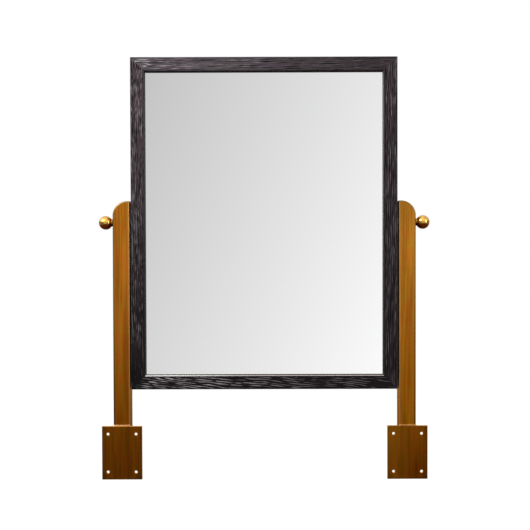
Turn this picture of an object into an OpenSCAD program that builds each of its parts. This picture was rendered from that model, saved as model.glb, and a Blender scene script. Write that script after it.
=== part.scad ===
// Dressing table mirror: a framed mirror that tilts between two square posts, each with a screw plate at its foot.
// The origin lies midway between the two plates, on the plane of their front faces.
// X runs to the right as seen from the front, Y to the rear and Z up. Left and right are as seen from the front.

/* [Frame] */
// Width of the frame over its outer faces
frame_w = 400; // [300:1:520]
// Height of the frame over its outer faces
frame_h = 498; // [400:1:590]
// Depth of the frame from front to rear
frame_d = 25; // [23:0.5:34]
// Width of each frame member's front face
member_w = 21; // [19:0.5:30]
// Thickness of the lip in front of the glass
lip_d = 8; // [5:0.5:10]
// Overlap of the lip over the rebate
rebate_bite = 6; // [4:0.5:8]
// Radius of the members' rounded arrises
arris_r = 1; // [0.4:0.1:1.5]
// Leg length of the triangular keys across the mitres
key_leg = 22; // [14:1:26]
// Thickness of the mitre keys
key_t = 3; // [2:0.5:4]
// How far the frame's centre lies below the pivots
frame_drop = 2; // [0:0.5:12]

/* [Glass and back] */
// Thickness of the mirror glass
glass_t = 4; // [3:0.5:6]
// Gap between the edge of the glass and the rebate
glass_gap = 1; // [0.5:0.1:2]
// Thickness of the backing board
board_t = 4; // [3:0.5:6]
// Width of the glazing beads
bead_w = 8; // [6:0.5:10]
// Radius of the beads' rounded edge
bead_round = 2; // [0.5:0.5:3]
// Distance of the beads below the rear face of the frame
bead_setback = 1; // [0:0.5:2]
// Length of the setting blocks under the glass
block_len = 40; // [20:1:80]

/* [Bead pins] */
// Diameter of the pins
pin_d = 1.4; // [1:0.1:2]
// Length of the pins
pin_len = 15; // [12:0.5:19]
// Diameter of the pins' heads
pin_head_d = 2.6; // [2.2:0.1:3]
// Thickness of the pins' heads
pin_head_t = 0.8; // [0.5:0.1:1.5]
// Distance of the pins from the backing board
pin_up = 2.5; // [1.5:0.1:3]
// Distance of the end pins from the ends of a bead
pin_end = 35; // [20:1:60]
// Greatest distance from pin to pin
pin_pitch = 110; // [60:5:150]

/* [Posts] */
// Width of the posts
post_w = 25; // [20:0.5:28]
// Depth of the posts from front to rear
post_d = 25; // [23:0.5:34]
// Wall thickness of the posts
post_wall = 2; // [1.5:0.1:3]
// Height of the posts' tops above the pivots
post_rise = 32; // [28:0.5:45]
// Width of the flat that the round shoulder leaves on top
shoulder_flat = 3; // [1.5:0.5:8]
// Radius of the rounded edges along the outer side and the shoulder
edge_r = 2; // [0.5:0.1:2.5]
// Radius of the crisp edges along the inner side
inner_edge_r = 0.8; // [0.3:0.1:1.4]
// Gap between the frame and each post
side_gap = 2.3; // [1.5:0.1:4]
// Height of the pivots above the middle of the plates
pivot_h = 345.5; // [300:0.5:420]
// Thickness of the end plugs' rims
plug_rim = 2; // [1:0.5:4]
// Depth of the end plugs inside the posts
plug_depth = 12; // [6:1:25]
// Wall thickness of the end plugs
plug_wall = 2; // [1.5:0.5:4]

/* [Plates] */
// Width of the screw plates
plate_w = 60; // [56:1:90]
// Height of the screw plates
plate_h = 80; // [60:1:90]
// Thickness of the screw plates
plate_t = 5; // [3.5:0.5:8]
// How far the plates are set in from the middle of the posts
plate_inset = 0.8; // [0:0.1:2]
// Distance of the screw holes from the plates' side edges
hole_edge_x = 9; // [7:0.5:11]
// Distance of the screw holes from the plates' top and bottom edges
hole_edge_z = 11.5; // [7:0.5:20]
// Diameter of the screw holes
hole_d = 4.5; // [3.5:0.1:6]
// Diameter of the countersinks in the rear faces
sink_d = 9; // [7:0.1:11]
// Radius of the brazing fillet on top of the plates
fillet_r = 2; // [1:0.5:4]

/* [Pivots and knobs] */
// Diameter of the threaded studs
stud_d = 6; // [4:0.5:7]
// Wall thickness of the threaded inserts
insert_wall = 2; // [1.5:0.5:3]
// Wood left between the inserts and the rebate
insert_cover = 2; // [1:0.5:4]
// Distance of the studs' tips from the bottoms of the inserts
stud_tip_gap = 1.5; // [0.5:0.5:4]
// Width and depth of the screwdriver slots in the inserts
slot_w = 1.5; // [1:0.1:2]
// Outer diameter of the friction washers
friction_d = 20; // [14:0.5:22]
// Wall thickness of the spacer sleeves
sleeve_wall = 2; // [1:0.5:3]
// Diameter of the thin washers under the knobs
knob_washer_d = 14; // [11:0.5:18]
// Thickness of the thin washers under the knobs
knob_washer_t = 1; // [0.8:0.1:3]
// Diameter of the ball knobs
ball_d = 21; // [16:0.5:30]
// Length of the neck between the washer and the ball
neck_len = 0.5; // [0.5:0.1:8]
// Wall thickness of the neck around the stud
neck_wall = 2.5; // [1:0.1:3]

/* [Clearances] */
// Radial clearance of the studs in the inserts' threads
thread_fit = 0.05; // [0.02:0.01:0.1]
// Radial clearance of the studs in posts, sleeves and washers
stud_fit = 0.1; // [0.05:0.01:0.1]
// Running gap between the friction washers and the posts
friction_gap = 0.3; // [0.1:0.1:0.6]
// Running gap between the knob washers and the posts
knob_gap = 0.1; // [0.05:0.05:0.5]
// Gap between the end plugs and the posts' walls
plug_fit = 0.2; // [0.05:0.05:0.5]

/* [Hidden] */
$fn = 64;
// Overshoot of a cutting shape past the face that it cuts
over = 1;

post_in_x = frame_w / 2 + side_gap;
post_out_x = post_in_x + post_w;
shoulder_r = post_w - shoulder_flat;
post_top_z = pivot_h + post_rise;
shoulder_z = post_top_z - shoulder_r;
foot_z = -plate_h / 2;
tube_z = foot_z + plug_rim;

pivot_y = plate_t + post_d / 2;
frame_y = pivot_y - frame_d / 2;
frame_mid_z = pivot_h - frame_drop;

wood_w = member_w - rebate_bite;
rebate_w = frame_w - 2 * wood_w;
rebate_h = frame_h - 2 * wood_w;
glass_w = rebate_w - 2 * glass_gap;
glass_h = rebate_h - 2 * glass_gap;
glass_y = frame_y + lip_d;
board_y = glass_y + glass_t;
bead_y = board_y + board_t;
bead_h = frame_d - lip_d - glass_t - board_t - bead_setback;

plate_x = post_in_x + post_w / 2 - plate_inset;
hole_x = plate_w / 2 - hole_edge_x;
hole_z = plate_h / 2 - hole_edge_z;

insert_len = wood_w - insert_cover;
insert_d = stud_d + 2 * (thread_fit + insert_wall);
friction_t = side_gap - friction_gap;
sleeve_len = post_w - 2 * post_wall;
sleeve_d = stud_d + 2 * (stud_fit + sleeve_wall);
washer_x = post_out_x + knob_gap;
neck_x = washer_x + knob_washer_t;
neck_d = stud_d + 2 * neck_wall;
ball_x = neck_x + neck_len + ball_d / 2;
stud_tip_x = frame_w / 2 - insert_len + stud_tip_gap;

oak = [0.20, 0.18, 0.18];
dark_board = [0.14, 0.13, 0.13];
silvered = [0.85, 0.87, 0.88];
old_brass = [0.58, 0.37, 0.12];
plate_brass = [0.38, 0.22, 0.06];
bright_brass = [0.86, 0.64, 0.25];
black_nylon = [0.10, 0.10, 0.10];
black_rubber = [0.12, 0.12, 0.12];

// The children on the right side, or mirrored to the left
module on_side(side) {
    if (side == "left")
        mirror([1, 0, 0]) children();
    else
        children();
}

// A rod along X on the pivot line, from x0 for the length given
module pivot_rod(x0, length, d) {
    translate([x0, pivot_y, pivot_h])
        rotate([0, 90, 0])
            cylinder(d = d, h = length);
}

// What lies between a corner of radius r and the square corner around it, in the quarter towards +X and +Y
module corner_waste(r) {
    difference() {
        square([r + over, r + over]);
        circle(r);
    }
}

// The four sides of a rectangle about the frame's centre. Each child lies along X with its outer face at Z = 0.
module on_frame_side(where, w, h) {
    angle = where == "top" ? 0 : where == "right" ? 90 : where == "bottom" ? 180 : 270;
    reach = where == "top" || where == "bottom" ? h / 2 : w / 2;
    translate([0, 0, frame_mid_z])
        rotate([0, angle, 0])
            translate([0, 0, reach])
                children();
}

// A strip along X with mitred ends. The 2D child is its section: X is the distance in from the outer face, Y the depth.
module mitred_strip(length, width, y0, depth) {
    intersection() {
        translate([-length / 2, 0, 0])
            rotate([90, 90, 90])
                linear_extrude(length)
                    children();
        translate([0, y0 + depth + over, 0])
            rotate([90, 0, 0])
                linear_extrude(depth + 2 * over)
                    polygon([
                        [-length / 2, 0], [length / 2, 0],
                        [length / 2 - width, -width], [width - length / 2, -width]
                    ]);
    }
}

// The section of a frame member, rebated at the rear and with rounded arrises
module member_section() {
    translate([0, frame_y])
        difference() {
            square([member_w, frame_d]);
            translate([wood_w, lip_d])
                square([rebate_bite + over, frame_d]);
            translate([arris_r, arris_r])
                rotate(180) corner_waste(arris_r);
            translate([member_w - arris_r, arris_r])
                rotate(-90) corner_waste(arris_r);
            translate([arris_r, frame_d - arris_r])
                rotate(90) corner_waste(arris_r);
        }
}

module frame_member(where) {
    length = where == "top" || where == "bottom" ? frame_w : frame_h;
    color(oak)
        difference() {
            on_frame_side(where, frame_w, frame_h)
                mitred_strip(length, member_w, frame_y, frame_d)
                    member_section();
            for (x = [-1, 1], z = [-1, 1])
                mitre_key(x, z);
            pins_on(where);
            if (where == "left" || where == "right")
                on_side(where)
                    pivot_rod(frame_w / 2 - insert_len, insert_len + over, insert_d);
        }
}

// A thin triangle let in across a mitre from the outer corner, on the side x and z
module mitre_key(x, z) {
    translate([x * frame_w / 2, frame_y + frame_d / 2 + key_t / 2, frame_mid_z + z * frame_h / 2])
        rotate([90, 0, 0])
            linear_extrude(key_t)
                polygon([[0, 0], [-x * key_leg, 0], [0, -z * key_leg]]);
}

module corner_key(x, z) {
    color(oak) mitre_key(x, z);
}

module mirror_glass() {
    color(silvered)
        translate([-glass_w / 2, glass_y, frame_mid_z - glass_h / 2])
            cube([glass_w, glass_t, glass_h]);
}

module backing_board() {
    color(dark_board)
        translate([-glass_w / 2, board_y, frame_mid_z - glass_h / 2])
            cube([glass_w, board_t, glass_h]);
}

// A glazing bead in the rebate, pinned to the frame member beside it
module bead(where) {
    length = where == "top" || where == "bottom" ? rebate_w : rebate_h;
    color(oak)
        difference() {
            on_frame_side(where, rebate_w, rebate_h)
                mitred_strip(length, bead_w, bead_y, bead_h)
                    translate([0, bead_y])
                        difference() {
                            square([bead_w, bead_h]);
                            translate([bead_w - bead_round, bead_h - bead_round])
                                corner_waste(bead_round);
                        }
            pins_on(where);
        }
}

// The pins of one bead, evenly spaced, with their heads flush in its inner face
module pins_on(where) {
    span = (where == "top" || where == "bottom" ? rebate_w : rebate_h) - 2 * pin_end;
    gaps = ceil(span / pin_pitch);
    on_frame_side(where, rebate_w, rebate_h)
        for (i = [0 : gaps])
            translate([i * span / gaps - span / 2, bead_y + pin_up, -bead_w]) {
                cylinder(d = pin_d, h = pin_len);
                cylinder(d = pin_head_d, h = pin_head_t);
            }
}

module bead_pins() {
    color(dark_board)
        for (where = ["top", "right", "bottom", "left"])
            pins_on(where);
}

module setting_block(side) {
    color(black_rubber)
        on_side(side)
            translate([rebate_w / 4 - block_len / 2, glass_y, frame_mid_z - rebate_h / 2])
                cube([block_len, glass_t + board_t, glass_gap]);
}

// A threaded insert, flush with the outer face of the stile, with a screwdriver slot
module insert(side) {
    color(old_brass)
        on_side(side)
            difference() {
                pivot_rod(frame_w / 2 - insert_len, insert_len, insert_d);
                pivot_rod(frame_w / 2 - insert_len - over, insert_len + 2 * over, stud_d + 2 * thread_fit);
                translate([frame_w / 2 - slot_w, pivot_y - insert_d, pivot_h - slot_w / 2])
                    cube([slot_w + over, 2 * insert_d, slot_w]);
            }
}

module friction_washer(side) {
    color(black_nylon)
        on_side(side)
            difference() {
                pivot_rod(frame_w / 2, friction_t, friction_d);
                pivot_rod(frame_w / 2 - over, friction_t + 2 * over, stud_d + 2 * stud_fit);
            }
}

// The section of a post seen from above, from its inner side at X = 0 to its outer side
module post_section() {
    difference() {
        square([post_w, post_d]);
        translate([post_w - edge_r, edge_r])
            rotate(-90) corner_waste(edge_r);
        translate([post_w - edge_r, post_d - edge_r])
            corner_waste(edge_r);
        translate([inner_edge_r, inner_edge_r])
            rotate(180) corner_waste(inner_edge_r);
        translate([inner_edge_r, post_d - inner_edge_r])
            rotate(90) corner_waste(inner_edge_r);
    }
}

// The rim of the shoulder: X is the distance from the shoulder's centre, Y the depth
module shoulder_section() {
    difference() {
        square([shoulder_r, post_d]);
        translate([shoulder_r - edge_r, edge_r])
            rotate(-90) corner_waste(edge_r);
        translate([shoulder_r - edge_r, post_d - edge_r])
            corner_waste(edge_r);
    }
}

// The solid outer form of a post, from its inner side at X = 0
module post_form() {
    translate([0, 0, tube_z])
        linear_extrude(shoulder_z - tube_z)
            post_section();
    translate([post_w - shoulder_r, post_d, shoulder_z])
        rotate([90, 0, 0])
            rotate_extrude(angle = 90)
                shoulder_section();
    intersection() {
        translate([0, 0, shoulder_z])
            linear_extrude(shoulder_r)
                post_section();
        translate([0, 0, shoulder_z])
            rotate([90, 0, 90])
                linear_extrude(shoulder_flat)
                    mirror([1, 0])
                        rotate(90)
                            shoulder_section();
    }
}

// The post seen from the front, drawn in by the wall at its outer side and top
module inner_outline() {
    translate([-over, tube_z - over])
        square([post_w - post_wall + over, shoulder_z - tube_z + over]);
    translate([-over, shoulder_z])
        square([shoulder_flat + over, shoulder_r - post_wall]);
    translate([shoulder_flat, shoulder_z])
        intersection() {
            circle(shoulder_r - post_wall);
            square(shoulder_r);
        }
}

// The strip that closes the shoulder and the top, seen from the front and as deep as the post
module cap_zone() {
    translate([0, post_d + over, 0])
        rotate([90, 0, 0])
            linear_extrude(post_d + 2 * over)
                difference() {
                    translate([-over, shoulder_z])
                        square([post_w + 2 * over, shoulder_r + over]);
                    inner_outline();
                }
}

// The space inside a post
module post_hollow() {
    translate([0, post_d - post_wall, 0])
        rotate([90, 0, 0])
            linear_extrude(post_d - 2 * post_wall)
                intersection() {
                    inner_outline();
                    translate([post_wall, tube_z - over])
                        square([post_w, post_top_z - tube_z + over]);
                }
}

module post(side) {
    color(old_brass)
        on_side(side)
            difference() {
                translate([post_in_x, plate_t, 0])
                    difference() {
                        post_form();
                        cap_zone();
                        post_hollow();
                    }
                pivot_rod(post_in_x - over, post_w + 2 * over, stud_d + 2 * stud_fit);
            }
}

module post_cap(side) {
    color(old_brass)
        on_side(side)
            translate([post_in_x, plate_t, 0])
                intersection() {
                    post_form();
                    cap_zone();
                }
}

// A screw plate, countersunk from the rear, with the brazing fillet against the post
module screw_plate(side) {
    sink_h = (sink_d - hole_d) / 2;
    color(plate_brass)
        on_side(side) {
            difference() {
                translate([plate_x - plate_w / 2, 0, -plate_h / 2])
                    cube([plate_w, plate_t, plate_h]);
                for (x = [-hole_x, hole_x], z = [-hole_z, hole_z])
                    translate([plate_x + x, 0, z])
                        rotate([-90, 0, 0]) {
                            translate([0, 0, -over])
                                cylinder(d = hole_d, h = plate_t + 2 * over);
                            translate([0, 0, plate_t - sink_h])
                                cylinder(d1 = hole_d, d2 = sink_d + 2 * over, h = sink_h + over);
                        }
            }
            translate([post_in_x + inner_edge_r, plate_t, plate_h / 2])
                rotate([90, 0, 90])
                    linear_extrude(post_w - inner_edge_r - edge_r)
                        difference() {
                            translate([-fillet_r, 0])
                                square(fillet_r);
                            translate([-fillet_r, fillet_r])
                                circle(fillet_r);
                        }
        }
}

module sleeve(side) {
    color(old_brass)
        on_side(side)
            difference() {
                pivot_rod(post_in_x + post_wall, sleeve_len, sleeve_d);
                pivot_rod(post_in_x, post_w, stud_d + 2 * stud_fit);
            }
}

// A push-in plug with a rim that follows the post's section
module end_plug(side) {
    inset = post_wall + plug_fit;
    color(black_nylon)
        on_side(side)
            translate([post_in_x, plate_t, foot_z])
                difference() {
                    union() {
                        linear_extrude(plug_rim)
                            post_section();
                        translate([inset, inset, 0])
                            cube([post_w - 2 * inset, post_d - 2 * inset, plug_rim + plug_depth]);
                    }
                    translate([inset + plug_wall, inset + plug_wall, plug_rim])
                        cube([
                            post_w - 2 * (inset + plug_wall),
                            post_d - 2 * (inset + plug_wall),
                            plug_depth + over
                        ]);
                }
}

module knob_washer(side) {
    color(bright_brass)
        on_side(side)
            difference() {
                pivot_rod(washer_x, knob_washer_t, knob_washer_d);
                pivot_rod(washer_x - over, knob_washer_t + 2 * over, stud_d + 2 * stud_fit);
            }
}

// A ball with a short neck, drilled to its centre for the stud
module ball_knob(side) {
    color(bright_brass)
        on_side(side)
            difference() {
                union() {
                    translate([ball_x, pivot_y, pivot_h])
                        sphere(d = ball_d);
                    pivot_rod(neck_x, ball_x - neck_x, neck_d);
                }
                pivot_rod(neck_x - over, ball_x - neck_x + over, stud_d);
            }
}

module stud(side) {
    color(bright_brass)
        on_side(side)
            pivot_rod(stud_tip_x, ball_x - stud_tip_x, stud_d);
}

frame_member("top");  // frame_top_rail
frame_member("bottom");  // frame_bottom_rail
frame_member("left");  // frame_left_stile
frame_member("right");  // frame_right_stile
corner_key(-1, 1);  // key_top_left
corner_key(1, 1);  // key_top_right
corner_key(-1, -1);  // key_bottom_left
corner_key(1, -1);  // key_bottom_right
mirror_glass();
backing_board();
bead("top");  // bead_top
bead("bottom");  // bead_bottom
bead("left");  // bead_left
bead("right");  // bead_right
bead_pins();
setting_block("left");  // left_setting_block
setting_block("right");  // right_setting_block
insert("left");  // left_insert
insert("right");  // right_insert
friction_washer("left");  // left_friction_washer
friction_washer("right");  // right_friction_washer
post("left");  // left_post
post("right");  // right_post
post_cap("left");  // left_post_cap
post_cap("right");  // right_post_cap
screw_plate("left");  // left_screw_plate
screw_plate("right");  // right_screw_plate
sleeve("left");  // left_sleeve
sleeve("right");  // right_sleeve
end_plug("left");  // left_end_plug
end_plug("right");  // right_end_plug
knob_washer("left");  // left_knob_washer
knob_washer("right");  // right_knob_washer
ball_knob("left");  // left_ball_knob
ball_knob("right");  // right_ball_knob
stud("left");  // left_stud
stud("right");  // right_stud
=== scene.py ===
import math

import bmesh
import bpy
import numpy as np
from mathutils import Matrix, Vector


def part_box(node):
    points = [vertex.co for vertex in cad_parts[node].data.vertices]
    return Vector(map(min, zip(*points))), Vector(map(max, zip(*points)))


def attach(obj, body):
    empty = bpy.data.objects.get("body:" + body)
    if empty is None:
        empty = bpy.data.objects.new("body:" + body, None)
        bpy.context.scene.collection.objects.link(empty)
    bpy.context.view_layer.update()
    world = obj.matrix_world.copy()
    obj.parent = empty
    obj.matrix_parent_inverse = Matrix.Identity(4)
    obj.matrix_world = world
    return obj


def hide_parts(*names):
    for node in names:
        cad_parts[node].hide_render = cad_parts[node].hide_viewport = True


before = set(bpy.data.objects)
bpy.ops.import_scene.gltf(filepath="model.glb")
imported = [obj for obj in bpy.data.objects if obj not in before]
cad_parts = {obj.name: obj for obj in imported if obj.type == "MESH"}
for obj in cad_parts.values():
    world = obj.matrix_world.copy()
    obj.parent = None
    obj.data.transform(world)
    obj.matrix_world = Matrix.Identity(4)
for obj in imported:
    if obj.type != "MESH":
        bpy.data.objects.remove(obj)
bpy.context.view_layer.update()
MM = 0.001


# The viewpoint: the camera stood square to the mirror, 1.35 m in front of the screw plates and a little below the
# knobs. Its turns and its focal length were fitted to the straight edges of the frame, the posts and the plates.
PICTURE_SIDE, FOCAL_PIXELS = 530, 906.2
CAMERA_PLACE = (2.66 * MM, -1353.1 * MM, 304.8 * MM)
CAMERA_PITCH, CAMERA_YAW, CAMERA_ROLL = (math.radians(turn) for turn in (-0.992, 0.066, -0.162))
camera = bpy.data.objects.new("viewpoint", bpy.data.cameras.new("viewpoint"))
camera.data.sensor_width = 36
camera.data.lens = camera.data.sensor_width * FOCAL_PIXELS / PICTURE_SIDE
camera.matrix_world = (
    Matrix.Translation(CAMERA_PLACE)
    @ Matrix.Rotation(CAMERA_YAW, 4, "Z")
    @ Matrix.Rotation(math.pi / 2 + CAMERA_PITCH, 4, "X")
    @ Matrix.Rotation(CAMERA_ROLL, 4, "Z")
)
bpy.context.scene.collection.objects.link(camera)
bpy.context.scene.camera = camera
bpy.context.scene.view_settings.view_transform = "Standard"


# The studio: a room that is white behind the object, where the camera sees it, and grey to the sides. The wall
# behind the camera, which the glass shows, runs from light grey at the upper left to white at the lower right and
# has a white border. The ceiling is a bright panel, brightest over the left and the front, for the brass to show.
WALL_LEFT, WALL_RIGHT, WALL_TOP, WALL_FOOT = -0.132, 0.130, 0.196, -0.137
WALL_GREY, PALER_RIGHT, PALER_DOWN = 196, 36, 20
SCREEN_GAMMA = 2.2
ROOM_LIGHT, PANEL_LIGHT = 0.75, 1.6


def arithmetic(operation):
    """The method of an operator on a wire, and its reflected form: a Math node with the terms in their order."""
    return (lambda wire, other: wire.math(operation, wire, other),
            lambda wire, other: wire.math(operation, other, wire))


class Wire:
    """An output of a node. Arithmetic between wires and numbers adds Math nodes to the same recipe."""

    __add__, __radd__ = arithmetic("ADD")
    __sub__, __rsub__ = arithmetic("SUBTRACT")
    __mul__, __rmul__ = arithmetic("MULTIPLY")
    __truediv__, __rtruediv__ = arithmetic("DIVIDE")
    __pow__, __rpow__ = arithmetic("POWER")

    def __init__(self, recipe, socket):
        self.recipe = recipe
        self.socket = socket

    def math(self, operation, *terms):
        return self.recipe.add("ShaderNodeMath", {"operation": operation}, dict(enumerate(terms)))

    def __abs__(self):
        return self.math("ABSOLUTE", self)

    def at_least(self, other):
        return self.math("MAXIMUM", self, other)

    def at_most(self, other):
        return self.math("MINIMUM", self, other)


class Recipe:
    """The node tree of a finish or of the studio, written as expressions on wires."""

    def __init__(self, holder):
        holder.use_nodes = True
        self.holder = holder
        self.tree = holder.node_tree
        self.tree.nodes.clear()

    def add(self, kind, settings, sockets, output=0):
        """Adds one node: its settings first, then the value or the wire of each socket. Returns one output, if any."""
        node = self.tree.nodes.new(kind)
        for name, value in settings.items():
            setattr(node, name, value)
        for name, value in sockets.items():
            if isinstance(value, Wire):
                self.tree.links.new(value.socket, node.inputs[name])
            else:
                node.inputs[name].default_value = value
        return Wire(self, node.outputs[output]) if node.outputs else None

    def several(self, kind, sockets, *names):
        """Adds one node and returns its outputs of these names."""
        node = self.add(kind, {}, sockets).socket.node
        return [Wire(self, node.outputs[name]) for name in names]

    def split(self, vector):
        """The three components of a vector."""
        return self.several("ShaderNodeSeparateXYZ", {0: vector}, "X", "Y", "Z")

    def band(self, value, low, high, start=0.0, stop=1.0):
        """Eases from start, where value is low, to stop, where it is high, and stays level outside."""
        span = {"Value": value, "From Min": low, "From Max": high, "To Min": start, "To Max": stop}
        return self.add("ShaderNodeMapRange", {"interpolation_type": "SMOOTHSTEP"}, span)


def shade(red, green, blue):
    """A colour as it looks on a screen, each part from 0 to 255, in the linear light that shaders use."""
    parts = np.array([red, green, blue]) / 255
    linear = np.where(parts <= 0.04045, parts / 12.92, ((parts + 0.055) / 1.055) ** 2.4)
    return (*linear.tolist(), 1.0)


studio = Recipe(bpy.data.worlds.new("studio"))
bpy.context.scene.world = studio.holder
to_right, to_rear, to_top = studio.split(studio.add("ShaderNodeTexCoord", {}, {}, output="Generated"))
to_camera = to_rear * -1
ahead = to_camera.at_least(0.05)
across = (to_right / ahead - WALL_LEFT) / (WALL_RIGHT - WALL_LEFT)
down = (WALL_TOP - to_top / ahead) / (WALL_TOP - WALL_FOOT)
grey = ((WALL_GREY + PALER_RIGHT * across + PALER_DOWN * down) / 255) ** SCREEN_GAMMA
off_wall = abs(across - 0.5).at_least(abs(down - 0.5)) - 0.5
wall = (grey + studio.band(off_wall, 0.03, 0.12)).at_most(1.0)
on_wall = studio.band(off_wall, 0.5, 1.6, 1.0, 0.0) * studio.band(to_camera, 0.3, 0.6)
panel = studio.band(to_top, 0.04, 0.45) * studio.band(to_camera, -0.9, 0.1, 0.3, 1.0)
panel = panel * studio.band(to_right, -0.1, 0.8, 1.0, 0.5) * studio.band(to_top, 0.5, 0.9, 1.0, 0.72)
side = studio.band(to_top, -0.5, 0.3, 0.3, 0.24) + panel * PANEL_LIGHT
behind = studio.band(to_rear, 0.6, 0.92)
room = side * (1 - behind) + behind
room = room * (1 - on_wall) + wall * on_wall
seen, diffuse_ray = studio.several("ShaderNodeLightPath", {}, "Is Camera Ray", "Is Diffuse Ray")
level = seen + (1 - seen) * (diffuse_ray * ROOM_LIGHT + (1 - diffuse_ray) * room)
background = studio.add("ShaderNodeBackground", {}, {"Color": shade(255, 255, 255), "Strength": level})
studio.add("ShaderNodeOutputWorld", {}, {"Surface": background})


# The floor: a wide pale sheet at the height of a room's floor under a dressing table. It is brighter to the eye than
# it is lit, so that it runs into the white room and still shows a soft shadow. In metal and glass it shows painted
# shade near the object and a painted glow farther off.
FLOOR_HALF, FLOOR_DROP = 5.0, 0.75
FLOOR_GLOW, FLOOR_GLOW_IN_METAL, FLOOR_SHADE_IN_METAL = 0.86, 0.3, 0.55
floor_mesh = bpy.data.meshes.new("floor")
floor_mesh.from_pydata(
    [(x * FLOOR_HALF, y * FLOOR_HALF, -FLOOR_DROP) for x, y in ((-1, -1), (1, -1), (1, 1), (-1, 1))],
    [], [(0, 1, 2, 3)]
)
floor = bpy.data.objects.new("floor", floor_mesh)
bpy.context.scene.collection.objects.link(floor)
pale = Recipe(bpy.data.materials.new("pale_floor"))
seen, glossy_ray, clear_ray = pale.several(
    "ShaderNodeLightPath", {}, "Is Camera Ray", "Is Glossy Ray", "Is Transmission Ray")
in_metal = glossy_ray + clear_ray
floor_x, floor_y, _ = pale.split(pale.add("ShaderNodeTexCoord", {}, {}, output="Object"))
# Painted shade and painted light for metal and glass: the lit floor is dimmed toward black, and a glow that grows with
# the distance from the object is added.
far_off = pale.band((floor_x ** 2 + floor_y ** 2) ** 0.5, 1.0, 4.6)
glow_level = seen * FLOOR_GLOW + in_metal * far_off * FLOOR_GLOW_IN_METAL
lit = pale.add("ShaderNodeBsdfDiffuse", {}, {"Color": shade(132, 131, 130)})
glow = pale.add("ShaderNodeEmission", {}, {"Color": shade(255, 255, 255), "Strength": glow_level})
dim = pale.add("ShaderNodeBsdfDiffuse", {}, {"Color": shade(0, 0, 0)})
lit = pale.add("ShaderNodeMixShader", {}, {0: in_metal * FLOOR_SHADE_IN_METAL, 1: lit, 2: dim})
pale.add("ShaderNodeOutputMaterial", {}, {"Surface": pale.add("ShaderNodeAddShader", {}, {0: lit, 1: glow})})
floor_mesh.materials.append(pale.holder)


# The lamps: a wide softbox high at the left, which lights the upper left most, and a weaker one at the right. Both
# stand in front of the mirror and face its middle.
LAMP_TARGET = Vector((0.0, 0.0, 0.32))


def softbox(name, place, width, height, power):
    """A rectangular lamp at place that faces the mirror."""
    lamp = bpy.data.objects.new(name, bpy.data.lights.new(name, "AREA"))
    lamp.data.shape = "RECTANGLE"
    lamp.data.size, lamp.data.size_y = width, height
    lamp.data.energy = power
    facing = (Vector(place) - LAMP_TARGET).to_track_quat("Z", "Y")
    lamp.matrix_world = Matrix.Translation(place) @ facing.to_matrix().to_4x4()
    bpy.context.scene.collection.objects.link(lamp)


softbox("left_softbox", (-1.25, -1.0, 1.45), 1.3, 0.8, 26.0)
softbox("right_softbox", (1.5, -1.1, 0.7), 0.7, 1.2, 9.0)


# The frame: four members of oak, mitred at the corners, wire-brushed until the hard grain stands up, and stained
# black. Each has a lip in front of the glass and a rebate behind it. The stain is rubbed thin on the ridges. Their
# tones are partly painted light and shade: lighter on the top rail and the upper left, darker toward the right, the
# foot and on the bottom rail, as the lamp at the upper left falls off.
BARE_LIP, MITRE_SINK = 1.15, 0.06
STAIN_REACH_X, STAIN_REACH_Z = 24, 46
FRAME_SPACING, FRAME_STEP, FRAME_RELIEF, FRAME_CREASE = 0.36, 1.5, 0.3, 75


def node_box(name):
    """The low and the high corner of a CAD node's box, in millimetres."""
    return [np.array(corner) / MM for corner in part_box(name)]


def outline(corners, spacing, arc_points=9):
    """A closed outline through corners (x, y, radius), at even steps of about spacing, and its outward normals.

    Each corner is an arc that touches both of its sides. The normals come from the steps before and after a point.
    """
    points = np.array([corner[:2] for corner in corners], float)
    before, after = np.roll(points, 1, 0) - points, np.roll(points, -1, 0) - points
    path = []
    for point, back, on, (_, _, radius) in zip(points, before, after, corners):
        back, on = back / np.hypot(*back), on / np.hypot(*on)
        half = math.acos(float(back @ on)) / 2
        reach = radius / math.tan(half)
        centre = point + (back + on) / np.hypot(*(back + on)) * radius / math.sin(half)
        start, stop = point + back * reach - centre, point + on * reach - centre
        share = np.linspace(0, 1, arc_points if radius else 1)[:, None]
        bend = start * (1 - share) + stop * share
        if radius:
            bend *= radius / np.hypot(bend[:, 0], bend[:, 1])[:, None]
        path.append(centre + bend)
    path = np.vstack(path + [path[0][:1]])
    run = np.concatenate([[0], np.cumsum(np.hypot(*np.diff(path, axis=0).T))])
    steps = np.linspace(0, run[-1], int(run[-1] / spacing) + 1)[:-1]
    even = np.stack([np.interp(steps, run, path[:, axis]) for axis in (0, 1)], axis=1)
    along = np.roll(even, -1, 0) - np.roll(even, 1, 0)
    normals = np.stack([along[:, 1], -along[:, 0]], axis=1)
    normals /= np.hypot(normals[:, 0], normals[:, 1])[:, None]
    turn = np.sum(even[:, 0] * np.roll(even[:, 1], -1) - np.roll(even[:, 0], -1) * even[:, 1])
    return even, normals * np.sign(turn)


def ring_quads(rows, columns, closed=False):
    """The point numbers of the faces that join each ring to the next, and if closed the last to the first."""
    here = np.arange(rows * columns).reshape(rows, columns)
    on = np.roll(here, -1, 0)
    quads = np.stack([here, np.roll(here, -1, 1), np.roll(on, -1, 1), on], axis=-1)
    return (quads if closed else quads[:-1]).reshape(-1, 4)


def carry(mesh, values):
    """Gives the points of a mesh their named numbers, which a finish can read."""
    for label, numbers in values.items():
        mesh.attributes.new(label, "FLOAT", "POINT").data.foreach_set("value", numbers.ravel().astype(np.float32))


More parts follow.
